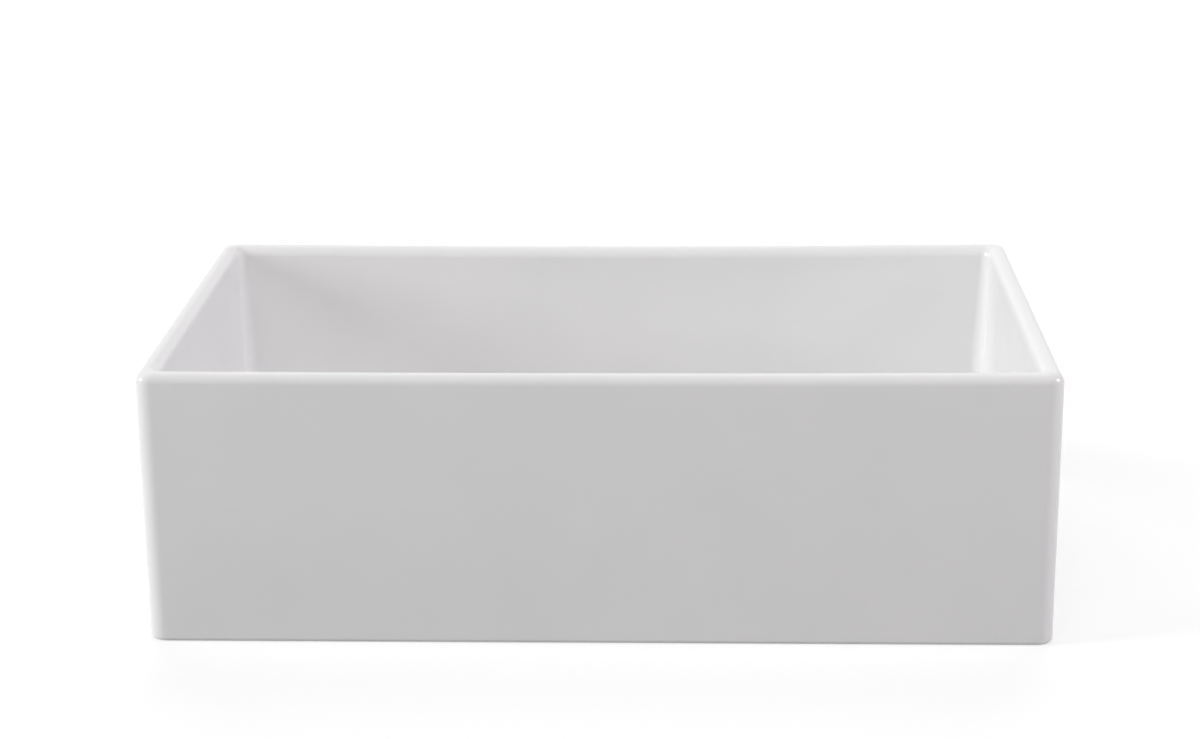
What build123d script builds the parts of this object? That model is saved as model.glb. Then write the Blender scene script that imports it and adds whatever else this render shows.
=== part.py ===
from build123d import *
from math import atan2, cos, pi
import os

# Farmhouse sink with a plain apron front, one bowl, and the basket strainer in its drain hole.
# Millimetres. +X runs along the apron, -Y is the apron side, +Z is up.
# The origin lies in the plane the basin stands on, straight below the middle of the drain.

# --- basin: outside ---
basin_length = 838.0
basin_depth = 475.0
basin_height = 260.0
outer_corner_round = 16.0
rim_outer_round = 9.0
foot_round = 4.0

# --- basin: bowl ---
wall = 20.0
wall_taper = 4.0
rim_inner_round = 8.0
bowl_corner_at_rim = 8.0
bowl_floor_round = 9.0
bowl_corner_margin = 9.5
floor_fall = 8.0

# --- basin: drain seat and underside ---
drain_thickness = 21.0
flange_recess_depth = 3.0
recess_clearance = 3.0
drain_land = 2.0
drain_edge_round = 1.5
hole_clearance = 4.75
pocket_depth = 6.0
foot_width = 45.0
rib_width = 40.0
rib_spacing = 300.0
pocket_corner_round = 18.0

# --- strainer body ---
cup_thread_radius = 41.25
cup_thread_pitch = 2.0
cup_thread_height = 0.8
cup_sheet = 1.5
cup_length = 66.0
cup_floor_round = 6.0
throat_length = 16.0
throat_round = 8.0
mouth_inset = 2.0
mouth_round = 3.75
flange_overlap = 11.0
flange_fall = 0.8
lip_round = 0.6
outlet_bore_radius = 21.5
outlet_round = 2.25
outlet_length = 24.0
outlet_thread_length = 15.0
outlet_thread_pitch = 1.8
outlet_thread_height = 0.9
thread_crest_share = 0.2

# --- rings and nut that clamp the strainer ---
seal_thickness = 1.2
seal_inset = 1.0
gasket_thickness = 4.0
gasket_overlap = 8.0
gasket_round = 0.8
friction_ring_thickness = 1.5
thread_clearance = 0.1
locknut_height = 12.0
locknut_ring_width = 6.5
locknut_flange_height = 3.0
locknut_chamfer = 0.6
lug_count = 8
lug_width = 9.0
lug_reach = 4.5
lug_root = 1.0
lug_round = 1.2

# --- crossbar in the outlet ---
crossbar_gap = 0.3
crossbar_thickness = 2.5
crossbar_hub_width = 4.3
crossbar_arm_width = 5.0
crossbar_arms = 3
crossbar_corner_round = 1.5
ledge_width = 1.0
ledge_height = 2.0
side_clearance = 0.1

# --- tailpiece and coupling nut ---
tail_radius = 19.05
tail_sheet = 1.2
tail_length = 102.0
tail_flange_thickness = 1.5
tail_washer_thickness = 2.5
tail_clearance = 0.65
coupling_nut_grip = 15.0
coupling_nut_shoulder = 2.5
coupling_nut_wall = 4.5
coupling_nut_round = 3.0
coupling_nut_chamfer = 1.0

# --- lift-out basket ---
basket_clearance = 0.45
basket_sheet = 0.8
basket_rim_width = 2.6
basket_rim_round = 1.6
basket_height = 41.0
basket_taper = 8.5
basket_floor_round = 5.0
basket_slots = 24
basket_slot_length = 22.0
basket_slot_width = 2.6
floor_hole_radius = 2.2
floor_hole_inset = 3.4
floor_hole_spacing = 8.4
floor_ring_gap = 7.5

# --- stopper under the basket ---
seal_disc_overlap = 6.0
seal_disc_thickness = 3.5
seal_disc_round = 2.0
backing_thickness = 1.2
backing_inset = 5.0
backing_hub_radius = 7.0
backing_hub_height = 3.3
stopper_washer_radius = 11.0
stopper_washer_thickness = 1.2
small_round = 0.4
post_nut_across_flats = 11.0
post_nut_height = 2.6
post_nut_chamfer = 0.5

# --- post and knob ---
post_radius = 3.0
post_clearance = 0.1
post_chamfer = 0.4
shoulder_width = 3.0
shoulder_height = 2.0
shoulder_round = 0.6
knob_radius = 11.0
knob_height = 11.0
knob_crown = 4.0
knob_rise = 2.5
neck_wall = 2.4
neck_height = 4.4
post_length_in_knob = 6.0

# --- pin, snap bush and retainer ---
pin_radius = 2.3
pin_tip_length = 1.0
pin_chamfer = 0.6
pin_clearance = 0.06
bush_wall = 1.54
bush_length = 11.0
bush_end_play = 0.1
bush_chamfer = 0.8
bush_flange_width = 1.7
bush_flange_height = 0.8
bead_height = 0.25
bead_width = 2.0
bead_from_end = 3.3
bead_clearance = 0.05
retainer_thickness = 1.0
retainer_round = 0.3

# --- how near an edge must lie to a level or a radius to be picked ---
pick_margin = 0.1

# --- levels of the basin, from the foot plane upwards ---
clamp_z = pocket_depth
seat_z = clamp_z + drain_thickness
drain_z = seat_z + flange_recess_depth
floor_edge_z = drain_z + floor_fall

# --- radii of the drain seat, all from the strainer's thread ---
cup_core_radius = cup_thread_radius - cup_thread_height
cup_bore_radius = cup_core_radius - cup_sheet
hole_radius = cup_thread_radius + hole_clearance
mouth_radius = hole_radius - mouth_inset
flange_radius = hole_radius + flange_overlap
recess_radius = flange_radius + recess_clearance
nut_bore_radius = cup_thread_radius + thread_clearance
clamp_radius = hole_radius + gasket_overlap

# --- levels and radii of the strainer ---
lip_z = seat_z + seal_thickness + cup_sheet
mouth_z = lip_z - flange_fall
throat_z = mouth_z - throat_length
cup_floor_z = lip_z - cup_length
outlet_end_z = cup_floor_z - outlet_length
gasket_bottom_z = clamp_z - gasket_thickness
locknut_top_z = gasket_bottom_z - friction_ring_thickness
locknut_bottom_z = locknut_top_z - locknut_height
outlet_core_radius = outlet_bore_radius + cup_sheet
outlet_thread_radius = outlet_core_radius + outlet_thread_height

# --- levels of the tailpiece ---
tail_top_z = outlet_end_z - tail_washer_thickness
tail_flange_z = tail_top_z - tail_flange_thickness
tail_bore_radius = tail_radius - tail_sheet

# --- levels and radii of the basket, pushed down and closed ---
seal_top_z = cup_floor_z + seal_disc_thickness
seal_disc_radius = outlet_bore_radius + seal_disc_overlap
backing_top_z = seal_top_z + backing_thickness
basket_under_z = backing_top_z + backing_hub_height
basket_floor_z = basket_under_z + basket_sheet
basket_rim_z = basket_under_z + basket_height
basket_rim_radius = cup_bore_radius - basket_clearance
basket_top_radius = basket_rim_radius - basket_rim_width
basket_foot_radius = basket_top_radius - basket_taper
knob_top_z = basket_rim_z + knob_rise
knob_base_z = knob_top_z - knob_height
washer_bottom_z = cup_floor_z - stopper_washer_thickness
post_nut_bottom_z = washer_bottom_z - post_nut_height
post_bore_radius = post_radius + post_clearance
shoulder_radius = post_radius + shoulder_width
neck_radius = post_bore_radius + neck_wall

# --- levels and radii of the bush and of the crossbar it snaps through ---
bush_top_z = post_nut_bottom_z - bush_end_play
bush_bottom_z = bush_top_z - bush_length
bush_bore_radius = pin_radius + pin_clearance
bush_radius = bush_bore_radius + bush_wall
bush_flange_radius = bush_radius + bush_flange_width
bead_radius = bush_radius + bead_height
retainer_top_z = bush_bottom_z - bush_end_play
pin_end_z = retainer_top_z - retainer_thickness - pin_tip_length
crossbar_top_z = bush_top_z - bush_flange_height - crossbar_gap
ledge_z = crossbar_top_z - crossbar_thickness
crossbar_hole_radius = bead_radius + bead_clearance
crossbar_hub_radius = crossbar_hole_radius + crossbar_hub_width


def ring_profile(inner_radius, outer_radius, bottom_z, top_z):
    """Rectangle in the radius-height plane, to be turned into a ring."""
    with Locations(((inner_radius + outer_radius) / 2, (bottom_z + top_z) / 2)):
        Rectangle(outer_radius - inner_radius, top_z - bottom_z)


def thread_profile(core_radius, height, top_z, length, pitch):
    """Row of vee-shaped crests, rooted inside a core, to be turned into the rings of a thread."""
    root = core_radius - height / 2
    crest = core_radius + height
    flank = pitch * (1 - thread_crest_share) / 2
    for turn in range(int(length / pitch)):
        low = top_z - (turn + 1) * pitch
        high = low + pitch
        Polygon((root, low), (crest, low + flank), (crest, high - flank), (root, high), align=None)


def outer_circles(piece):
    """Circular edges of a piece that have its largest radius."""
    return piece.edges().filter_by(GeomType.CIRCLE).group_by(SortBy.RADIUS)[-1]


def upright_edges(piece, inner_radius, outer_radius):
    """Edges along Z whose distance from the drain's axis lies between two radii."""
    return piece.edges().filter_by(Axis.Z).filter_by(
        lambda edge: inner_radius < Vector(edge.center().X, edge.center().Y).length < outer_radius
    )


def finish(piece, name):
    """Names a finished piece and writes it."""
    piece.part.label = name
    export_step(piece.part, f"parts/{name}.step")


os.makedirs("parts", exist_ok=True)

# Basin: one casting. The bowl is a ruled void through three rounded rectangles, so its walls lean in a little
# and its floor falls from all sides to the land around the drain. Ribs part the underside's hollow in three.
with BuildPart() as basin:
    mouth_length = basin_length - 2 * wall
    mouth_depth = basin_depth - 2 * wall
    drain_land_side = 2 * (recess_radius + drain_land)
    with BuildSketch(Plane.XY):
        RectangleRounded(basin_length, basin_depth, outer_corner_round)
    extrude(amount=basin_height)
    fillet(basin.faces().sort_by(Axis.Z)[-1].edges(), rim_outer_round)
    fillet(basin.faces().sort_by(Axis.Z)[0].edges(), foot_round)
    with BuildSketch(Plane.XY.offset(basin_height)):
        RectangleRounded(mouth_length, mouth_depth, bowl_corner_at_rim)
    with BuildSketch(Plane.XY.offset(floor_edge_z)):
        RectangleRounded(
            mouth_length - 2 * wall_taper, mouth_depth - 2 * wall_taper, bowl_floor_round + bowl_corner_margin
        )
    with BuildSketch(Plane.XY.offset(drain_z)):
        RectangleRounded(drain_land_side, drain_land_side, drain_land_side / 2 - drain_land)
    loft(ruled=True, mode=Mode.SUBTRACT)
    floor_edge_levels = (floor_edge_z - pick_margin, floor_edge_z + pick_margin)
    fillet(basin.edges().filter_by_position(Axis.Z, *floor_edge_levels), bowl_floor_round)
    fillet(basin.faces().sort_by(Axis.Z)[-1].inner_wires()[0].edges(), rim_inner_round)
    with BuildSketch(Plane.XY.offset(drain_z)):
        Circle(recess_radius)
    extrude(amount=-flange_recess_depth, mode=Mode.SUBTRACT)
    with BuildSketch(Plane.XY.offset(seat_z)):
        Circle(hole_radius)
    extrude(amount=-seat_z, mode=Mode.SUBTRACT)
    pocket_length_y = basin_depth - 2 * foot_width
    side_pocket = (basin_length - 2 * foot_width - rib_spacing - rib_width) / 2
    side_pocket_x = (rib_spacing + rib_width + side_pocket) / 2
    with BuildSketch(Plane.XY):
        RectangleRounded(rib_spacing - rib_width, pocket_length_y, pocket_corner_round)
        with Locations((-side_pocket_x, 0), (side_pocket_x, 0)):
            RectangleRounded(side_pocket, pocket_length_y, pocket_corner_round)
    extrude(amount=pocket_depth, mode=Mode.SUBTRACT)
    drain_circles = basin.edges().filter_by(GeomType.CIRCLE).filter_by(
        lambda edge: hole_radius - pick_margin < edge.radius < recess_radius + pick_margin
    )
    recess_foot = drain_circles.group_by(SortBy.RADIUS)[-1].sort_by(Axis.Z)[0]
    fillet(drain_circles.filter_by(lambda edge: edge != recess_foot), drain_edge_round)
finish(basin, "basin")

# Strainer body: one sheet from lip to outlet, with thread rings outside and a ledge inside the outlet.
with BuildPart() as strainer_body:
    with BuildSketch(Plane.XZ):
        with BuildLine():
            inside = FilletPolyline(
                (flange_radius, lip_z),
                (mouth_radius, mouth_z),
                (cup_bore_radius, throat_z),
                (cup_bore_radius, cup_floor_z),
                (outlet_bore_radius, cup_floor_z),
                (outlet_bore_radius, outlet_end_z),
                radius=[mouth_round, throat_round, cup_floor_round, outlet_round],
            )
            offset(inside, amount=cup_sheet, side=Side.LEFT)
        make_face()
        cup_thread_length = clamp_z - cup_floor_z - cup_floor_round
        thread_profile(cup_core_radius, cup_thread_height, clamp_z, cup_thread_length, cup_thread_pitch)
        thread_profile(
            outlet_core_radius,
            outlet_thread_height,
            outlet_end_z + outlet_thread_length,
            outlet_thread_length,
            outlet_thread_pitch,
        )
        ring_profile(outlet_bore_radius - ledge_width, outlet_core_radius, ledge_z - ledge_height, ledge_z)
    revolve(axis=Axis.Z)
    lip_edges = strainer_body.edges().filter_by(GeomType.CIRCLE).group_by(SortBy.RADIUS)[-2:]
    fillet([edge for group in lip_edges for edge in group], lip_round)
finish(strainer_body, "strainer_body")

# Flange seal: putty squeezed between seat and flange, wedge-shaped because the flange falls inwards.
with BuildPart() as flange_seal:
    flange_width = flange_radius - mouth_radius
    seal_outer = flange_radius - seal_inset
    seal_inner = hole_radius + drain_edge_round + seal_inset
    flange_under_z = lip_z - cup_sheet / cos(atan2(flange_fall, flange_width))
    outer_fall = flange_fall * (flange_radius - seal_outer) / flange_width
    inner_fall = flange_fall * (flange_radius - seal_inner) / flange_width
    with BuildSketch(Plane.XZ):
        Polygon(
            (seal_inner, seat_z),
            (seal_outer, seat_z),
            (seal_outer, flange_under_z - outer_fall),
            (seal_inner, flange_under_z - inner_fall),
            align=None,
        )
    revolve(axis=Axis.Z)
finish(flange_seal, "flange_seal")

# Crossbar: hub with a hole, and arms whose tips stand on the ledge in the outlet.
with BuildPart() as crossbar:
    arm_reach = outlet_bore_radius - side_clearance
    with BuildSketch(Plane.XY.offset(ledge_z)):
        Circle(crossbar_hub_radius)
        with PolarLocations(arm_reach / 2, crossbar_arms):
            Rectangle(arm_reach, crossbar_arm_width)
        Circle(arm_reach, mode=Mode.INTERSECT)
        Circle(crossbar_hole_radius, mode=Mode.SUBTRACT)
    extrude(amount=crossbar_thickness)
    hub_corner_radii = (crossbar_hub_radius - pick_margin, crossbar_hub_radius + pick_margin)
    fillet(upright_edges(crossbar, *hub_corner_radii), crossbar_corner_round)
finish(crossbar, "crossbar")

# Body gasket: rubber ring pressed to the unglazed underside around the hole.
with BuildPart() as body_gasket:
    with BuildSketch(Plane.XZ):
        ring_profile(nut_bore_radius, clamp_radius, gasket_bottom_z, clamp_z)
    revolve(axis=Axis.Z)
    fillet(outer_circles(body_gasket), gasket_round)
finish(body_gasket, "body_gasket")

# Friction ring: thin fibre ring between rubber and nut.
with BuildPart() as friction_ring:
    with BuildSketch(Plane.XZ):
        ring_profile(nut_bore_radius, clamp_radius, locknut_top_z, gasket_bottom_z)
    revolve(axis=Axis.Z)
finish(friction_ring, "friction_ring")

# Locknut: ring with a flange on top, and lugs around it for the spanner.
with BuildPart() as locknut:
    locknut_ring_radius = nut_bore_radius + locknut_ring_width
    with BuildSketch(Plane.XZ):
        ring_profile(nut_bore_radius, locknut_ring_radius, locknut_bottom_z, locknut_top_z)
        ring_profile(nut_bore_radius, clamp_radius, locknut_top_z - locknut_flange_height, locknut_top_z)
    revolve(axis=Axis.Z)
    with BuildSketch(Plane.XY.offset(locknut_bottom_z)):
        with PolarLocations(locknut_ring_radius + (lug_reach - lug_root) / 2, lug_count):
            Rectangle(lug_reach + lug_root, lug_width)
    extrude(amount=locknut_height - locknut_flange_height)
    fillet(upright_edges(locknut, locknut_ring_radius - lug_root, clamp_radius), lug_round)
    chamfer(outer_circles(locknut), locknut_chamfer)
finish(locknut, "locknut")

# Tailpiece washer: plastic, between the outlet's end and the tailpiece's flange.
with BuildPart() as tailpiece_washer:
    with BuildSketch(Plane.XZ):
        ring_profile(tail_bore_radius, outlet_core_radius, tail_top_z, outlet_end_z)
    revolve(axis=Axis.Z)
finish(tailpiece_washer, "tailpiece_washer")

# Tailpiece: straight tube with a turned-out flange at its top.
with BuildPart() as tailpiece:
    with BuildSketch(Plane.XZ):
        ring_profile(tail_bore_radius, tail_radius, tail_top_z - tail_length, tail_top_z)
        ring_profile(tail_bore_radius, outlet_core_radius, tail_flange_z, tail_top_z)
    revolve(axis=Axis.Z)
finish(tailpiece, "tailpiece")

# Coupling nut: hexagon whose inner shoulder carries the tailpiece's flange.
with BuildPart() as coupling_nut:
    coupling_bore_radius = outlet_thread_radius + thread_clearance
    coupling_bottom_z = tail_flange_z - coupling_nut_shoulder
    coupling_top_z = outlet_end_z + coupling_nut_grip
    with BuildSketch(Plane.XY.offset(coupling_bottom_z)):
        RegularPolygon(coupling_bore_radius + coupling_nut_wall, 6, major_radius=False)
    extrude(amount=coupling_top_z - coupling_bottom_z)
    fillet(coupling_nut.edges().filter_by(Axis.Z), coupling_nut_round)
    chamfer(coupling_nut.faces().filter_by(Axis.Z).edges(), coupling_nut_chamfer)
    with BuildSketch(Plane.XY.offset(tail_flange_z)):
        Circle(coupling_bore_radius)
    extrude(amount=coupling_top_z - tail_flange_z, mode=Mode.SUBTRACT)
    with BuildSketch(Plane.XY.offset(coupling_bottom_z)):
        Circle(tail_radius + tail_clearance)
    extrude(amount=coupling_nut_shoulder, mode=Mode.SUBTRACT)
finish(coupling_nut, "coupling_nut")

# Basket cup: perforated sheet with a turned-out rim, slots in the wall and rings of holes in the floor.
with BuildPart() as basket_cup:
    with BuildSketch(Plane.XZ):
        with BuildLine():
            cup_inside = FilletPolyline(
                (basket_rim_radius, basket_rim_z),
                (basket_top_radius, basket_rim_z),
                (basket_foot_radius, basket_floor_z),
                (post_bore_radius, basket_floor_z),
                radius=[basket_rim_round, basket_floor_round],
            )
            offset(cup_inside, amount=basket_sheet, side=Side.LEFT)
        make_face()
    revolve(axis=Axis.Z)
    slot_centre = Vector(0, 0, (basket_rim_z + basket_under_z) / 2)
    slot_turns = [360 / basket_slots * slot for slot in range(basket_slots)]
    slot_planes = [Plane(slot_centre, (0, 0, 1), Vector(1, 0, 0).rotate(Axis.Z, turn)) for turn in slot_turns]
    with BuildSketch(*slot_planes):
        SlotOverall(basket_slot_length, basket_slot_width)
    extrude(amount=basket_rim_radius, mode=Mode.SUBTRACT)
    outer_ring = basket_foot_radius - basket_floor_round - floor_hole_inset
    hub_room = backing_hub_radius + floor_hole_radius
    ring_total = int((outer_ring - hub_room) / floor_ring_gap) + 1
    with BuildSketch(Plane.XY.offset(basket_under_z)):
        for ring in range(ring_total):
            hole_ring = outer_ring - ring * floor_ring_gap
            with PolarLocations(hole_ring, int(2 * pi * hole_ring / floor_hole_spacing)):
                Circle(floor_hole_radius)
    extrude(amount=basket_sheet, mode=Mode.SUBTRACT)
finish(basket_cup, "basket_cup")

# Stopper backing: steel plate whose hub holds the rubber clear of the basket's floor.
with BuildPart() as stopper_backing:
    with BuildSketch(Plane.XZ):
        ring_profile(post_bore_radius, seal_disc_radius - backing_inset, seal_top_z, backing_top_z)
        ring_profile(post_bore_radius, backing_hub_radius, seal_top_z, basket_under_z)
    revolve(axis=Axis.Z)
finish(stopper_backing, "stopper_backing")

# Stopper seal: rubber disc that lies on the cup's floor around the outlet.
with BuildPart() as stopper_seal:
    with BuildSketch(Plane.XZ):
        ring_profile(post_bore_radius, seal_disc_radius, cup_floor_z, seal_top_z)
    revolve(axis=Axis.Z)
    fillet(outer_circles(stopper_seal).sort_by(Axis.Z)[-1], seal_disc_round)
finish(stopper_seal, "stopper_seal")

# Stopper washer: spreads the nut's load under the rubber.
with BuildPart() as stopper_washer:
    with BuildSketch(Plane.XZ):
        ring_profile(post_bore_radius, stopper_washer_radius, washer_bottom_z, cup_floor_z)
    revolve(axis=Axis.Z)
    fillet(outer_circles(stopper_washer).sort_by(Axis.Z)[0], small_round)
finish(stopper_washer, "stopper_washer")

# Post nut: hexagon that clamps the stack to the post's shoulder.
with BuildPart() as post_nut:
    with BuildSketch(Plane.XY.offset(post_nut_bottom_z)):
        RegularPolygon(post_nut_across_flats / 2, 6, major_radius=False)
        Circle(post_bore_radius, mode=Mode.SUBTRACT)
    extrude(amount=post_nut_height)
    chamfer(post_nut.faces().sort_by(Axis.Z)[0].outer_wire().edges(), post_nut_chamfer)
finish(post_nut, "post_nut")

# Basket post: shouldered rod; its lower pin carries the bush, and its top stands in the knob.
with BuildPart() as basket_post:
    with BuildSketch(Plane.XZ):
        ring_profile(0, post_radius, post_nut_bottom_z, knob_base_z + post_length_in_knob)
        ring_profile(0, shoulder_radius, basket_floor_z, basket_floor_z + shoulder_height)
        ring_profile(0, pin_radius, pin_end_z, post_nut_bottom_z)
    revolve(axis=Axis.Z)
    chamfer(basket_post.faces().sort_by(Axis.Z)[0].edges(), pin_chamfer)
    chamfer(basket_post.faces().sort_by(Axis.Z)[-1].edges(), post_chamfer)
    fillet(outer_circles(basket_post).sort_by(Axis.Z)[-1], shoulder_round)
finish(basket_post, "basket_post")

# Basket knob: mushroom-shaped, with a neck and a blind hole for the post.
with BuildPart() as basket_knob:
    crown_edge = (knob_radius, knob_top_z - knob_crown)
    with BuildSketch(Plane.XZ):
        with BuildLine():
            Polyline(
                (0, knob_top_z),
                (0, knob_base_z),
                (neck_radius, knob_base_z),
                (neck_radius, knob_base_z + neck_height),
                crown_edge,
            )
            Bezier(crown_edge, (knob_radius, knob_top_z), (0, knob_top_z))
        make_face()
    revolve(axis=Axis.Z)
    with BuildSketch(Plane.XY.offset(knob_base_z)):
        Circle(post_bore_radius)
    extrude(amount=post_length_in_knob, mode=Mode.SUBTRACT)
finish(basket_knob, "basket_knob")

# Snap bush: turns on the post's pin; its bead goes through the crossbar's hole, its flange stays above it.
with BuildPart() as snap_bush:
    bead_z = bush_bottom_z + bead_from_end
    with BuildSketch(Plane.XZ):
        ring_profile(bush_bore_radius, bush_radius, bush_bottom_z, bush_top_z)
        ring_profile(bush_bore_radius, bush_flange_radius, bush_top_z - bush_flange_height, bush_top_z)
        ring_profile(bush_bore_radius, bead_radius, bead_z - bead_width / 2, bead_z + bead_width / 2)
    revolve(axis=Axis.Z)
    chamfer(snap_bush.faces().sort_by(Axis.Z)[0].outer_wire().edges(), bush_chamfer)
finish(snap_bush, "snap_bush")

# Bush retainer: small ring at the pin's end.
with BuildPart() as bush_retainer:
    with BuildSketch(Plane.XZ):
        ring_profile(bush_bore_radius, bush_radius, retainer_top_z - retainer_thickness, retainer_top_z)
    revolve(axis=Axis.Z)
    fillet(outer_circles(bush_retainer), retainer_round)
finish(bush_retainer, "bush_retainer")
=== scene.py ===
# %% [markdown]
# # A farmhouse sink with a plain apron front
#
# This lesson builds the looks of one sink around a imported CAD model: a heavy white fireclay basin, and the steel,
# brass and rubber drain that hangs in its floor. The CAD nodes are the fixed frame. They hold the true sizes, and
# nothing here moves them. All lengths are metres, +X runs along the apron, -Y points out through the apron, and
# +Z is up. The basin stands on z = 0, and the drain's axis is the Z axis.

# %% Load the frame
import bmesh
import bpy
import math
from mathutils import Matrix, Vector


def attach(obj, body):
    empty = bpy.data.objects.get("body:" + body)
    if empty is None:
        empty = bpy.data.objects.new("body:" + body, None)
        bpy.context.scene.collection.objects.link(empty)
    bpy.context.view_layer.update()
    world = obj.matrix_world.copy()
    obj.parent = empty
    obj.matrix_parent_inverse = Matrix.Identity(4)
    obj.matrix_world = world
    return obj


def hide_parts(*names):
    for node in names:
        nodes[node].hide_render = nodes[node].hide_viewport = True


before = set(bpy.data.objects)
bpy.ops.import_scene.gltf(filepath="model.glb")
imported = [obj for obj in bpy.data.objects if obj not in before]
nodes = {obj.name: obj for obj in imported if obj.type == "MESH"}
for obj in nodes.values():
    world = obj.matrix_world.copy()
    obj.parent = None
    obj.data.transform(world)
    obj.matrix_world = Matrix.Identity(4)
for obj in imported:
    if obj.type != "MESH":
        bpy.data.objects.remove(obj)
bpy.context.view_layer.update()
bpy.ops.object.select_all(action="DESELECT")
scene = bpy.context.scene

# %% [markdown]
# ## The camera
#
# A product picture of a sink is taken from in front and above, with a long lens, so that the apron stays a true
# rectangle. The place and the three angles below come from fitting the basin's outline to its outline in the
# picture. A long lens is set by its focal length on a 36 mm wide sensor.

# %% Place the camera
LENS_MM = 76.99
SENSOR_MM = 36.0
CAMERA_PLACE = Vector((0.08299, -2.42509, 0.95111))
TURNED_LEFT = math.radians(2.0867)
TILTED_DOWN = math.radians(17.3819)
ROLLED = math.radians(-0.5319)

camera_data = bpy.data.cameras.new("camera")
camera_data.lens = LENS_MM
camera_data.sensor_width = SENSOR_MM
camera = bpy.data.objects.new("camera", camera_data)
scene.collection.objects.link(camera)
upright = Matrix.Rotation(TURNED_LEFT, 4, "Z") @ Matrix.Rotation(math.pi / 2 - TILTED_DOWN, 4, "X")
camera.matrix_world = Matrix.Translation(CAMERA_PLACE) @ upright @ Matrix.Rotation(ROLLED, 4, "Z")
scene.camera = camera
scene.view_settings.view_transform = "Standard"
print("camera at", [round(v, 3) for v in camera.location])

# %% [markdown]
# ## The basin's outlines
#
# The real basin is cast in a plaster mould, so its shape is a stack of rounded rectangles that flow into each
# other: foot, rim, bowl and drain. It could be a cube with an inset top, but then every corner would get the same
# radius. Here each level is its own outline instead: a plane whose four corners are bevelled to that level's own
# radius, or a circle for the drain. All outlines have the same count of points, so that a bridge between two of
# them gives clean quads.

# %% Sizes of the basin
LENGTH, DEPTH, HEIGHT = 0.838, 0.475, 0.260
WALL = 0.020
WALL_TAPER = 0.004
OUTER_CORNER, RIM_CORNER, FLOOR_CORNER = 0.016, 0.008, 0.0185
FLOOR_EDGE, LAND_LEVEL, RECESS_LEVEL, POCKET_CEILING = 0.038, 0.030, 0.027, 0.006
LAND_SIDE, RECESS_RADIUS, HOLE_RADIUS = 0.124, 0.060, 0.046
CORNER_STEPS = 24
POINTS_AROUND = 4 * (CORNER_STEPS + 1)
print("points in each outline:", POINTS_AROUND)

# %% Draw one outline
def hold_outline(name):
    """Gives the outline in hand a vertex group of its own name, to find its points by later."""
    outline = bpy.context.object
    outline.name = name
    bpy.ops.object.transform_apply(location=True, rotation=True, scale=True)
    group = outline.vertex_groups.new(name=name)
    group.add(range(len(outline.data.vertices)), 1.0, "REPLACE")
    return outline


def rounded_outline(name, length, depth, corner, level, middle=0.0):
    """A loop of edges: a rectangle at one level, with rounded corners."""
    bpy.ops.mesh.primitive_plane_add(size=1, location=(middle, 0, level))
    bpy.ops.transform.resize(value=(length, depth, 1))
    bpy.ops.object.transform_apply(location=True, rotation=True, scale=True)
    bpy.ops.object.mode_set(mode="EDIT")
    bpy.ops.mesh.select_all(action="SELECT")
    bpy.ops.mesh.bevel(offset=corner, segments=CORNER_STEPS, affect="VERTICES", clamp_overlap=False)
    bpy.ops.mesh.delete(type="ONLY_FACE")
    bpy.ops.object.mode_set(mode="OBJECT")
    return hold_outline(name)


def round_outline(name, radius, level):
    """A loop of edges: a circle round the drain's axis."""
    half_step = math.pi / POINTS_AROUND
    bpy.ops.mesh.primitive_circle_add(
        vertices=POINTS_AROUND, radius=radius, location=(0, 0, level), rotation=(0, 0, half_step))
    return hold_outline(name)


# %% Draw all outlines
bowl_length, bowl_depth = LENGTH - 2 * WALL, DEPTH - 2 * WALL
floor_length, floor_depth = bowl_length - 2 * WALL_TAPER, bowl_depth - 2 * WALL_TAPER
outlines = [
    round_outline("hole_foot", HOLE_RADIUS, POCKET_CEILING),
    round_outline("hole_top", HOLE_RADIUS, RECESS_LEVEL),
    round_outline("recess_foot", RECESS_RADIUS, RECESS_LEVEL),
    round_outline("recess_top", RECESS_RADIUS, LAND_LEVEL),
    rounded_outline("drain_land", LAND_SIDE, LAND_SIDE, RECESS_RADIUS, LAND_LEVEL),
    rounded_outline("floor_edge", floor_length, floor_depth, FLOOR_CORNER, FLOOR_EDGE),
    rounded_outline("rim_inner", bowl_length, bowl_depth, RIM_CORNER, HEIGHT),
    rounded_outline("rim_outer", LENGTH, DEPTH, OUTER_CORNER, HEIGHT),
    rounded_outline("foot", LENGTH, DEPTH, OUTER_CORNER, 0.0),
]
# each pocket's middle along the apron, and its width
POCKETS = {"pocket_left": (-0.272, 0.204), "pocket_middle": (0.0, 0.260), "pocket_right": (0.272, 0.204)}
POCKET_DEPTH, POCKET_CORNER = 0.385, 0.018
for name, (middle, width) in POCKETS.items():
    for place, level in (("_mouth", 0.0), ("_ceiling", POCKET_CEILING)):
        outlines.append(rounded_outline(name + place, width, POCKET_DEPTH, POCKET_CORNER, level, middle))
print("outlines:", len(outlines), "points each:", {len(o.data.vertices) for o in outlines})

# %% [markdown]
# ## Skin the outlines
#
# All outlines are joined into one object. Each outline's points still carry their group, so two neighbours can be
# selected by name and bridged, the rim's pair first. The underside has three shallow pockets, which keep the clay
# evenly thick in the kiln. Its flat faces are filled last, round the pockets.

# %% Join the outlines
bpy.ops.object.select_all(action="DESELECT")
for outline in outlines:
    outline.select_set(True)
basin = outlines[0]
bpy.context.view_layer.objects.active = basin
bpy.ops.object.join()
basin.name = "glazed_basin"
bpy.ops.object.mode_set(mode="EDIT")
bpy.ops.mesh.select_mode(type="VERT")


def pick(piece, *groups):
    """Selects the points of the named outlines, and the edges between them."""
    bpy.ops.mesh.select_all(action="DESELECT")
    for group in groups:
        piece.vertex_groups.active_index = piece.vertex_groups[group].index
        bpy.ops.object.vertex_group_select()


print("outlines joined:", len(basin.vertex_groups))

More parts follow.
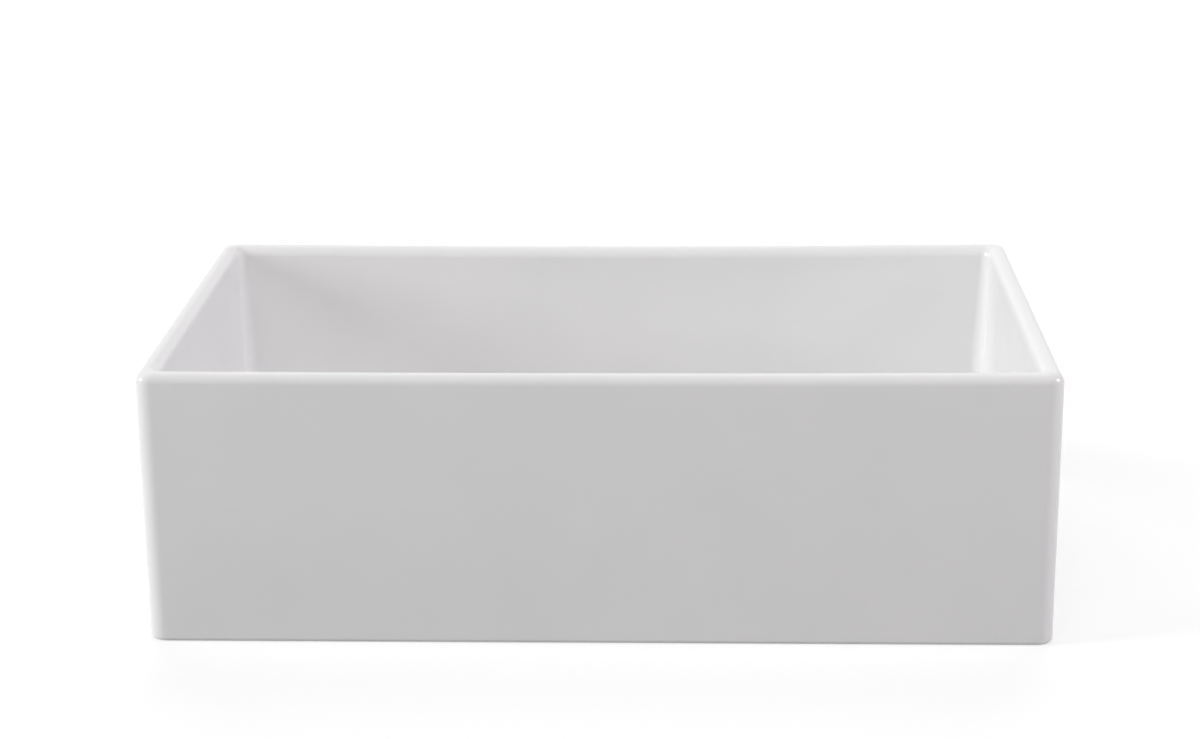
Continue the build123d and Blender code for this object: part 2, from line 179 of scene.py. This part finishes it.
# %% Bridge the outlines
SKIN = ("hole_foot", "hole_top", "recess_foot", "recess_top", "drain_land", "floor_edge", "rim_inner", "rim_outer",
        "foot")
RIM_PAIR = ("rim_inner", "rim_outer")
pairs = [RIM_PAIR] + [pair for pair in zip(SKIN, SKIN[1:]) if pair != RIM_PAIR]
pairs += [(name + "_mouth", name + "_ceiling") for name in POCKETS]
pairs += [("pocket_middle_ceiling", "hole_foot")]
for pair in pairs:
    pick(basin, *pair)
    bpy.ops.mesh.bridge_edge_loops(use_merge=False)
for side in ("pocket_left_ceiling", "pocket_right_ceiling"):
    pick(basin, side)
    bpy.ops.mesh.edge_face_add()
pick(basin, "foot", *[name + "_mouth" for name in POCKETS])
bpy.ops.mesh.fill(use_beauty=True)
bpy.ops.mesh.select_all(action="SELECT")
bpy.ops.mesh.normals_make_consistent(inside=False)
bpy.ops.object.mode_set(mode="OBJECT")
print("basin skin:", len(basin.data.vertices), "points,", len(basin.data.polygons), "faces")

# %% [markdown]
# ## Soften the edges
#
# Glaze can't hold a knife edge: it draws back from sharp corners, so every edge is rounded in the clay first. The
# rim gets the largest rounds, the foot and the drain small ones. Only edges where two faces really meet at an angle
# are bevelled, because the outlines also carry flat edges inside the underside.

# %% Round each outline's edge
SHARP_ANGLE = math.radians(30)
SAME_LEVEL = 1e-5


def pick_sharp(piece, group, level):
    """Selects the edges along one outline, at its level, where two faces meet at more than the sharp angle."""
    pick(piece, group)
    mesh = bmesh.from_edit_mesh(piece.data)
    along = [edge for edge in mesh.edges if edge.select and edge.calc_face_angle(0) > SHARP_ANGLE]
    along = [edge for edge in along if all(abs(end.co.z - level) < SAME_LEVEL for end in edge.verts)]
    bpy.ops.mesh.select_all(action="DESELECT")
    bpy.ops.mesh.select_mode(type="EDGE")
    for edge in along:
        edge.select_set(True)
    bmesh.update_edit_mesh(piece.data)
    return len(along)


# each outline's level, the radius of its round and the round's steps
ROUNDS = {
    "rim_outer": (HEIGHT, 0.009, 8), "rim_inner": (HEIGHT, 0.0105, 8), "floor_edge": (FLOOR_EDGE, 0.009, 8),
    "foot": (0.0, 0.004, 5), "recess_top": (LAND_LEVEL, 0.0015, 3), "hole_top": (RECESS_LEVEL, 0.0015, 3),
    "hole_foot": (POCKET_CEILING, 0.0015, 3),
}
bpy.ops.object.mode_set(mode="EDIT")
for group, (level, radius, steps) in ROUNDS.items():
    count = pick_sharp(basin, group, level)
    bpy.ops.mesh.bevel(offset=radius, segments=steps, profile=0.5, affect="EDGES", clamp_overlap=False)
    bpy.ops.mesh.select_mode(type="VERT")
    print(group, "rounded along", count, "edges")
bpy.ops.object.mode_set(mode="OBJECT")

# %% [markdown]
# ## Let the rims sag
#
# A wide basin softens in the kiln and its long rims sink a little between the corners. In the picture the middle of
# the back rim lies about 2.4 mm lower than its ends. A lattice is a cage of few points that bends everything in it.
# The walls first need points to bend at, so the basin is cut across every 60 mm and along the walls' height. The
# cage's two lower layers stay put, so the bowl's floor and the drain keep their place.

# %% Cut the basin so that it can bend
CUT_SPACING, CUTS_EACH_WAY = 0.060, 6
WALL_CUTS = (0.10, 0.14, 0.18, 0.22)
bpy.ops.object.mode_set(mode="EDIT")
for step in range(-CUTS_EACH_WAY, CUTS_EACH_WAY + 1):
    bpy.ops.mesh.select_all(action="SELECT")
    bpy.ops.mesh.bisect(plane_co=(step * CUT_SPACING, 0, 0), plane_no=(1, 0, 0))
for level in WALL_CUTS:
    bpy.ops.mesh.select_all(action="SELECT")
    bpy.ops.mesh.bisect(plane_co=(0, 0, level), plane_no=(0, 0, 1))
bpy.ops.object.mode_set(mode="OBJECT")
basin.vertex_groups.clear()
print("basin after the cuts:", len(basin.data.vertices), "points")

# %% Bend it with a lattice
BACK_SAG, FRONT_SAG = 0.0024, 0.0012
CAGE_POINTS = (5, 2, 3)
TOP_LAYER_FROM = 0.4
bpy.ops.object.select_all(action="DESELECT")
bpy.ops.object.add(type="LATTICE", location=(0, 0, HEIGHT / 2))
cage = bpy.context.object
cage.data.points_u, cage.data.points_v, cage.data.points_w = CAGE_POINTS
cage.data.interpolation_type_u = "KEY_CATMULL_ROM"
cage.data.interpolation_type_v = cage.data.interpolation_type_w = "KEY_LINEAR"
cage.scale = (LENGTH, DEPTH, HEIGHT)
cage_end = max(point.co.x for point in cage.data.points)
for place in cage.data.points:
    if place.co.z > TOP_LAYER_FROM:
        sag = BACK_SAG if place.co.y > 0 else FRONT_SAG
        along = place.co.x / cage_end
        place.co_deform.z -= sag * (1 - along * along) / HEIGHT
bpy.context.view_layer.objects.active = basin
basin.select_set(True)
bend = basin.modifiers.new("sag", "LATTICE")
bend.object = cage
bpy.ops.object.modifier_apply(modifier="sag")
bpy.data.objects.remove(cage)
MIDDLE_BAND, BACK_WALL_FROM = 0.001, 0.2
rim_back = [v.co.z for v in basin.data.vertices if abs(v.co.x) < MIDDLE_BAND and v.co.y > BACK_WALL_FROM]
print("back rim at the middle:", round(max(rim_back), 5))

# %% [markdown]
# ## Keep the flat faces flat
#
# Smooth shading blends the light across every edge. That suits the rounds, but it would make the big flat walls
# look pillowy. The weighted normals modifier lets the large faces win, so that only the rounds look round.

# %% Shade the basin and put it in the frame
SMOOTH_BELOW = math.radians(50)
bpy.ops.object.select_all(action="DESELECT")
basin.select_set(True)
bpy.context.view_layer.objects.active = basin
bpy.ops.object.shade_smooth_by_angle(angle=SMOOTH_BELOW)
basin.modifiers.new("flat_walls", "WEIGHTED_NORMAL").keep_sharp = True
bpy.ops.object.modifier_apply(modifier="flat_walls")
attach(basin, "sink")
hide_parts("basin")
print("basin done:", len(basin.data.polygons), "faces")

# %% [markdown]
# ## Small helpers for materials
#
# Each finish is a node tree on Object coordinates, so its grain has a real size in metres. The helpers keep the
# trees short: one starts a material with its shader, one adds a node and joins its inputs, and the others wrap what
# the finishes share: noise, a range that turns noise into a useful value, a blend of two colours, and a bump.

# %% Helpers for node trees
def start_material(name):
    """A new material with a Principled shader; returns the material, its tree and the shader."""
    material = bpy.data.materials.new(name)
    material.use_nodes = True
    tree = material.node_tree
    tree.nodes.clear()
    shader = tree.nodes.new("ShaderNodeBsdfPrincipled")
    output = tree.nodes.new("ShaderNodeOutputMaterial")
    tree.links.new(shader.outputs["BSDF"], output.inputs["Surface"])
    return material, tree, shader


def add_node(tree, kind, settings=None, **inputs):
    """Adds a node. settings are its own choices; inputs are plain values or the output of another node.

    An input goes by its name, with _ for a space, or by its number, as _0 or _1.
    """
    made = tree.nodes.new(kind)
    for key, value in (settings or {}).items():
        setattr(made, key, value)
    for key, value in inputs.items():
        by_number = key[0] == "_" and key[1:].isdigit()
        socket = made.inputs[int(key[1:]) if by_number else key.replace("_", " ")]
        if isinstance(value, bpy.types.NodeSocket):
            tree.links.new(value, socket)
        else:
            socket.default_value = value
    return made


def noise(tree, place, scale, detail=2.0, roughness=0.5):
    """Cloudy values around 0.5; scale is how many clouds fit in a metre."""
    made = add_node(tree, "ShaderNodeTexNoise", None, Vector=place, Scale=scale, Detail=detail, Roughness=roughness)
    return made.outputs[0]


def between(tree, value, low, high, start=0.35, end=0.65):
    """Turns a value that runs from start to end into one that runs from low to high."""
    made = add_node(tree, "ShaderNodeMapRange", None, Value=value, From_Min=start, From_Max=end,
                    To_Min=low, To_Max=high)
    return made.outputs[0]


def blend_colours(tree, value, first, second):
    """A colour between two, by a value from 0 to 1."""
    made = add_node(tree, "ShaderNodeMix", {"data_type": "RGBA"}, _0=value, _6=(*first, 1), _7=(*second, 1))
    return made.outputs[2]


def emboss(tree, height, depth, under=None):
    """A bump whose full height is depth metres; under is an earlier bump that it lies on."""
    made = add_node(tree, "ShaderNodeBump", None, Strength=1.0, Distance=depth, Height=height)
    if under:
        tree.links.new(under, made.inputs["Normal"])
    return made.outputs[0]


def object_place(tree):
    """The point's own place on the object, in metres."""
    return add_node(tree, "ShaderNodeTexCoord").outputs["Object"]


def paint(material, *names):
    """Puts one material in the only slot of each named CAD node."""
    for name in names:
        nodes[name].data.materials.clear()
        nodes[name].data.materials.append(material)
    print(material.name, "on", ", ".join(names))


# %% [markdown]
# ## The glaze
#
# Fireclay is sprayed with an opaque white glaze and fired once. The fired skin is glassy but not a mirror: it keeps
# a very slow waviness from the spraying, a fine orange peel that only shows in highlights, a white that is a little
# cloudy, and here and there a speck of iron from the clay. The cloud could be painted as an image, but noise in
# real metres wraps round every edge without a seam. Its two whites differ by about two steps in a hundred.

# %% Make the glaze's cloudy white and its specks
glaze, tree, shader = start_material("white_glaze")
place = object_place(tree)
CLOUD_LIGHT, CLOUD_DARK, CLOUDS_PER_METRE = (0.838, 0.834, 0.838), (0.820, 0.818, 0.822), 9.0
cloud = between(tree, noise(tree, place, CLOUDS_PER_METRE, 3.0), 0.0, 1.0)
white = blend_colours(tree, cloud, CLOUD_DARK, CLOUD_LIGHT)
# a speck's core and edge are measured in cells, and only the cells with a high enough number have one
IRON_SPECK, SPECK_STRENGTH, SPECK_CELLS_PER_METRE = (0.50, 0.46, 0.41), 0.7, 38.0
SPECK_CORE, SPECK_EDGE = 0.010, 0.022
SPECKS_START, SPECKS_FULL = 0.860, 0.900
cells = add_node(tree, "ShaderNodeTexVoronoi", None, Vector=place, Scale=SPECK_CELLS_PER_METRE)
near_middle = between(tree, cells.outputs["Distance"], 1.0, 0.0, SPECK_CORE, SPECK_EDGE)
chosen = add_node(tree, "ShaderNodeSeparateColor", None, Color=cells.outputs["Color"])
rare = between(tree, chosen.outputs[0], 0.0, SPECK_STRENGTH, SPECKS_START, SPECKS_FULL)
speck = add_node(tree, "ShaderNodeMath", {"operation": "MULTIPLY"}, _0=near_middle, _1=rare).outputs[0]
speckled = add_node(tree, "ShaderNodeMix", {"data_type": "RGBA"}, _0=speck, _6=white, _7=(*IRON_SPECK, 1))
tree.links.new(speckled.outputs[2], shader.inputs["Base Color"])
print("glaze whites:", CLOUD_DARK, "to", CLOUD_LIGHT)

# %% Give the glaze its gloss and lay it on
GLAZE_SMOOTHEST, GLAZE_ROUGHEST, SMEARS_PER_METRE = 0.125, 0.150, 14.0
WAVES_PER_METRE, WAVE_DEPTH = 5.0, 0.00012
PEEL_PER_METRE, PEEL_DEPTH = 170.0, 0.000004
GLAZE_IOR = 1.5
smear = noise(tree, place, SMEARS_PER_METRE, 2.0)
tree.links.new(between(tree, smear, GLAZE_SMOOTHEST, GLAZE_ROUGHEST), shader.inputs["Roughness"])
wave = emboss(tree, noise(tree, place, WAVES_PER_METRE, 1.0), WAVE_DEPTH)
peel = emboss(tree, noise(tree, place, PEEL_PER_METRE, 1.0), PEEL_DEPTH, wave)
tree.links.new(peel, shader.inputs["Normal"])
shader.inputs["IOR"].default_value = GLAZE_IOR
basin.data.materials.clear()
basin.data.materials.append(glaze)
print("glaze nodes:", len(tree.nodes))

# %% [markdown]
# ## Bare clay underneath
#
# The basin is fired standing on its foot, so the foot is wiped clean of glaze, and the shallow pockets stay dry as
# well. Bare fireclay is a buff stoneware with coarse grog, the crushed fired clay that keeps it from cracking. The
# same mesh takes it as a second material on the faces that look straight down and on the pockets' low walls.

# %% Make the clay
clay, tree, shader = start_material("bare_fireclay")
place = object_place(tree)
BUFF_LIGHT, BUFF_DARK, BUFF_CLOUDS_PER_METRE = (0.66, 0.56, 0.43), (0.54, 0.44, 0.32), 22.0
GROG, GROG_STRENGTH, GROG_PER_METRE = (0.34, 0.25, 0.17), 0.8, 420.0
GROG_CORE, GROG_EDGE = 0.10, 0.30
CLAY_SMOOTHEST, CLAY_ROUGHEST, CLAY_PATCHES_PER_METRE = 0.75, 0.95, 300.0
CLAY_GRAINS_PER_METRE, CLAY_GRAIN_DEPTH = 260.0, 0.0006
buff_cloud = between(tree, noise(tree, place, BUFF_CLOUDS_PER_METRE, 5.0, 0.6), 0.0, 1.0)
buff = blend_colours(tree, buff_cloud, BUFF_DARK, BUFF_LIGHT)
grains = add_node(tree, "ShaderNodeTexVoronoi", None, Vector=place, Scale=GROG_PER_METRE)
grog = between(tree, grains.outputs["Distance"], GROG_STRENGTH, 0.0, GROG_CORE, GROG_EDGE)
gritty = add_node(tree, "ShaderNodeMix", {"data_type": "RGBA"}, _0=grog, _6=buff, _7=(*GROG, 1))
tree.links.new(gritty.outputs[2], shader.inputs["Base Color"])
patches = noise(tree, place, CLAY_PATCHES_PER_METRE, 2.0)
tree.links.new(between(tree, patches, CLAY_SMOOTHEST, CLAY_ROUGHEST), shader.inputs["Roughness"])
coarse = emboss(tree, noise(tree, place, CLAY_GRAINS_PER_METRE, 4.0, 0.7), CLAY_GRAIN_DEPTH)
tree.links.new(coarse, shader.inputs["Normal"])
print("clay nodes:", len(tree.nodes))

# %% Give it to the faces underneath
basin.data.materials.append(clay)
CLAY_TOP = POCKET_CEILING + 0.0005
POCKETS_REACH_X, POCKETS_REACH_Y = 0.40, 0.21
LOOKS_DOWN = -0.9
bare = []
for face in basin.data.polygons:
    among_pockets = abs(face.center.x) < POCKETS_REACH_X and abs(face.center.y) < POCKETS_REACH_Y
    if face.center.z < CLAY_TOP and (face.normal.z < LOOKS_DOWN or among_pockets):
        face.material_index = 1
        bare.append(face)
print("bare clay faces:", len(bare), "of", len(basin.data.polygons))

# %% [markdown]
# ## Turned and spun steel
#
# The strainer, the basket and their small discs are pressed and then spun or turned, which leaves fine rings round
# the drain's axis. Plain noise would look like rust or cloud. Here the noise is fed with the distance from the axis
# and the height, stretched very finely, and hardly at all with the place across, so that it runs out into rings. The
# same rings move the roughness and a very low bump. A second, larger noise is the dull bloom that hard water leaves.

# %% A finish with rings round the drain's axis
RING_DRIFT = 3.0


def ringed(tree, ring_spacing):
    """Noise that runs in rings round the Z axis; ring_spacing is in metres."""
    place = object_place(tree)
    parts = add_node(tree, "ShaderNodeSeparateXYZ", None, Vector=place).outputs
    flat = add_node(tree, "ShaderNodeCombineXYZ", None, X=parts[0], Y=parts[1])
    radius = add_node(tree, "ShaderNodeVectorMath", {"operation": "LENGTH"}, _0=flat.outputs[0]).outputs["Value"]
    tight = 1.0 / ring_spacing
    out = add_node(tree, "ShaderNodeMath", {"operation": "MULTIPLY"}, _0=radius, _1=tight).outputs[0]
    up = add_node(tree, "ShaderNodeMath", {"operation": "MULTIPLY"}, _0=parts[2], _1=tight).outputs[0]
    wander = add_node(tree, "ShaderNodeMath", {"operation": "MULTIPLY"}, _0=parts[0], _1=RING_DRIFT).outputs[0]
    rings = add_node(tree, "ShaderNodeCombineXYZ", None, X=out, Y=wander, Z=up)
    return place, noise(tree, rings.outputs[0], 1.0, 3.0, 0.6)


# %% A metal with that finish
CLOUD_SHARE = 0.4


def metal(name, light, dark, sheen, ring_spacing, ring_depth, bloom=24.0):
    """A metal with turning rings: sheen is its lowest and highest roughness, bloom is clouds per metre."""
    material, tree, shader = start_material(name)
    place, rings = ringed(tree, ring_spacing)
    cloudy = noise(tree, place, bloom, 4.0, 0.6)
    tree.links.new(blend_colours(tree, between(tree, cloudy, 0.0, 1.0), dark, light), shader.inputs["Base Color"])
    both = add_node(tree, "ShaderNodeMix", {"data_type": "FLOAT"}, _0=CLOUD_SHARE, _2=rings, _3=cloudy).outputs[0]
    tree.links.new(between(tree, both, *sheen), shader.inputs["Roughness"])
    tree.links.new(emboss(tree, rings, ring_depth), shader.inputs["Normal"])
    shader.inputs["Metallic"].default_value = 1.0
    return material


satin_steel = metal("satin_steel", (0.66, 0.655, 0.64), (0.55, 0.545, 0.53), (0.22, 0.38),
                    ring_spacing=0.00045, ring_depth=0.000012)
paint(satin_steel, "strainer_body", "crossbar", "basket_cup", "basket_post", "stopper_backing", "stopper_washer",
      "bush_retainer")
polished_steel = metal("polished_steel", (0.80, 0.795, 0.78), (0.72, 0.715, 0.70), (0.05, 0.12),
                       ring_spacing=0.0009, ring_depth=0.000003)
paint(polished_steel, "tailpiece", "basket_knob")

# %% [markdown]
# ## Brass
#
# The nuts under the basin are hot-pressed and then turned brass. Their colour isn't even: fresh metal on the turned
# faces goes to a brown bloom where hands and damp have been, so the two colours of this finish lie far apart.

# %% Make the brass
brass = metal("turned_brass", (0.78, 0.58, 0.28), (0.50, 0.34, 0.15), (0.22, 0.45),
              ring_spacing=0.0007, ring_depth=0.00002, bloom=60.0)
paint(brass, "locknut", "coupling_nut", "post_nut")

# %% [markdown]
# ## Rubber, fibre, putty and plastics
#
# The soft seals share one recipe: a colour that wanders between two shades, a grain of their own size in the bump,
# and a roughness that follows the grain. Moulded rubber is nearly black with a dusty bloom, pressed fibre is flecked
# with brown, squeezed putty is lumpy and slightly oily, and the two plastics let a little light in.

# %% One recipe for the soft parts
LIGHT_REACH = (0.002, 0.0018, 0.0014)


def soft_part(name, light, dark, sheen, cloud, grain, grain_depth, glow=0.0):
    """A seal or plastic: cloud and grain are patterns per metre, glow is how much light it lets in."""
    material, tree, shader = start_material(name)
    place = object_place(tree)
    cloudy = noise(tree, place, cloud, 4.0, 0.6)
    fine = noise(tree, place, grain, 3.0, 0.6)
    tree.links.new(blend_colours(tree, between(tree, cloudy, 0.0, 1.0), dark, light), shader.inputs["Base Color"])
    tree.links.new(between(tree, fine, *sheen), shader.inputs["Roughness"])
    tree.links.new(emboss(tree, fine, grain_depth), shader.inputs["Normal"])
    shader.inputs["Subsurface Weight"].default_value = glow
    shader.inputs["Subsurface Radius"].default_value = LIGHT_REACH
    return material


# %% Make the soft parts
rubber = soft_part("moulded_rubber", (0.045, 0.044, 0.043), (0.022, 0.022, 0.023), (0.55, 0.80),
                   cloud=70, grain=1400, grain_depth=0.00004)
paint(rubber, "body_gasket", "stopper_seal")
fibre = soft_part("pressed_fibre", (0.46, 0.31, 0.19), (0.30, 0.19, 0.11), (0.80, 0.95),
                  cloud=320, grain=900, grain_depth=0.00008)
paint(fibre, "friction_ring")
putty = soft_part("squeezed_putty", (0.68, 0.64, 0.55), (0.56, 0.51, 0.42), (0.40, 0.62),
                  cloud=110, grain=160, grain_depth=0.0004)
paint(putty, "flange_seal")
plastic = soft_part("white_plastic", (0.83, 0.83, 0.80), (0.79, 0.79, 0.76), (0.32, 0.42),
                    cloud=60, grain=700, grain_depth=0.00001, glow=0.15)
paint(plastic, "tailpiece_washer")
nylon = soft_part("natural_nylon", (0.80, 0.77, 0.68), (0.74, 0.70, 0.60), (0.35, 0.48),
                  cloud=80, grain=800, grain_depth=0.00002, glow=0.25)
paint(nylon, "snap_bush")

# %% [markdown]
# ## The floor
#
# The floor and backdrop are one sheet of white studio paper. Near the basin it keeps the soft shadow that makes the
# basin look heavy. Further off it fades to pure white. It could be made white with stronger lamps, but they would
# bleach the glaze too, so the paper's own glow does it, and only the camera, mirrors and glass see that glow. The
# drain hangs below the foot, so the paper has a round hole for it, hidden under the basin like the one in the frame
# or shelf that a real basin stands on.

# %% Lay the paper
FLOOR_RADIUS, HOLE_FOR_DRAIN, FLOOR_SIDES = 6.0, 0.11, 64
bpy.ops.object.select_all(action="DESELECT")
bpy.ops.mesh.primitive_circle_add(vertices=FLOOR_SIDES, radius=FLOOR_RADIUS, fill_type="NGON", location=(0, 0, 0))
floor = bpy.context.object
floor.name = "floor"
bpy.ops.object.mode_set(mode="EDIT")
bpy.ops.mesh.select_all(action="SELECT")
bpy.ops.mesh.inset(thickness=FLOOR_RADIUS - HOLE_FOR_DRAIN)
bpy.ops.mesh.delete(type="FACE")
bpy.ops.object.mode_set(mode="OBJECT")
near_drain = min(point.co.length for point in floor.data.vertices)
print("floor:", len(floor.data.polygons), "faces, hole radius", round(near_drain, 3))


# %% The paper's two looks
def seen_rays(tree):
    """One where the ray comes from the camera, or has passed a mirror or glass; else nought."""
    rays = add_node(tree, "ShaderNodeLightPath").outputs
    most = {"operation": "MAXIMUM"}
    seen = add_node(tree, "ShaderNodeMath", most, _0=rays["Is Camera Ray"], _1=rays["Is Glossy Ray"]).outputs[0]
    return add_node(tree, "ShaderNodeMath", most, _0=seen, _1=rays["Is Transmission Ray"]).outputs[0]


PAPER_GREY = 0.52
GLOW_NEAR, GLOW_FAR = 0.52, 1.0
FADE_START, FADE_END = 0.6, 2.4
paper = bpy.data.materials.new("white_floor")
paper.use_nodes = True
tree = paper.node_tree
tree.nodes.clear()
output = add_node(tree, "ShaderNodeOutputMaterial")
matt = add_node(tree, "ShaderNodeBsdfDiffuse", Color=(PAPER_GREY, PAPER_GREY, PAPER_GREY, 1))
away = add_node(tree, "ShaderNodeVectorMath", {"operation": "LENGTH"}, _0=object_place(tree)).outputs["Value"]
strength = between(tree, away, GLOW_NEAR, GLOW_FAR, FADE_START, FADE_END)
white = add_node(tree, "ShaderNodeEmission", Color=(1, 1, 1, 1), Strength=strength)
dark = add_node(tree, "ShaderNodeEmission", Strength=0.0)
glow = add_node(tree, "ShaderNodeMixShader", _0=seen_rays(tree), _1=dark.outputs[0], _2=white.outputs[0])
both = add_node(tree, "ShaderNodeAddShader", _0=matt.outputs[0], _1=glow.outputs[0])
tree.links.new(both.outputs[0], output.inputs["Surface"])
floor.data.materials.append(paper)
print("paper glow:", GLOW_NEAR, "to", GLOW_FAR)

# %% [markdown]
# ## The room
#
# A white studio lights everything a little from all sides. Matt surfaces get that as a weak even light. The camera
# and the gloss see the white walls themselves.

# %% Build the room
ROOM_LIGHT, ROOM_WHITE = 0.1, 1.0
world = bpy.data.worlds.new("studio")
scene.world = world
world.use_nodes = True
tree = world.node_tree
tree.nodes.clear()
output = add_node(tree, "ShaderNodeOutputWorld")
soft = add_node(tree, "ShaderNodeBackground", Color=(1, 1, 1, 1), Strength=ROOM_LIGHT)
walls = add_node(tree, "ShaderNodeBackground", Color=(1, 1, 1, 1), Strength=ROOM_WHITE)
room = add_node(tree, "ShaderNodeMixShader", _0=seen_rays(tree), _1=soft.outputs[0], _2=walls.outputs[0])
tree.links.new(room.outputs[0], output.inputs["Surface"])
print("room light:", ROOM_LIGHT)

# %% [markdown]
# ## The lamps
#
# The picture's light can be read from the basin. A low key from the left throws the left wall's soft shadow along
# the back wall. Two weaker lamps from the right brighten the left wall and leave the faint second shadow in the
# back corner. The key stands far off, because a near one would bleach the side that faces it long before it reached
# the inside of the bowl. Two very large boxes, in front and behind, only fill. They are kept out of the gloss, which
# would smear them along the rims. A photographer would hang sheets of diffusing cloth for that.

# %% Hang the lamps
LIT_POINT = Vector((0, 0, 0.18))


def softbox(name, azimuth, elevation, distance, side, power, colour=(1, 1, 1), in_gloss=True):
    """A square lamp round the basin: azimuth 0 is in front, 90 is right; elevation is above the floor."""
    turn, rise = math.radians(azimuth), math.radians(elevation)
    away = Vector((math.sin(turn) * math.cos(rise), -math.cos(turn) * math.cos(rise), math.sin(rise)))
    data = bpy.data.lights.new(name, "AREA")
    data.shape = "SQUARE"
    data.size, data.energy, data.color = side, power, colour
    lamp = bpy.data.objects.new(name, data)
    scene.collection.objects.link(lamp)
    lamp.location = LIT_POINT + away * distance
    lamp.rotation_euler = (-away).to_track_quat("-Z", "Y").to_euler()
    lamp.visible_camera = False
    lamp.visible_glossy = in_gloss
    print(name, power, "W at", [round(v, 2) for v in lamp.location])


softbox("left_key", azimuth=-80, elevation=18, distance=9.0, side=3.0, power=560, colour=(0.98, 1.0, 1.0))
softbox("front_fill", azimuth=0, elevation=50, distance=6.0, side=6.0, power=134, colour=(1.0, 0.97, 0.95),
        in_gloss=False)
softbox("back_fill", azimuth=180, elevation=45, distance=6.0, side=6.0, power=200, in_gloss=False)
softbox("right_high", azimuth=60, elevation=40, distance=6.0, side=3.0, power=30)
softbox("right_side", azimuth=80, elevation=25, distance=6.0, side=2.0, power=115, colour=(0.98, 0.94, 1.0))
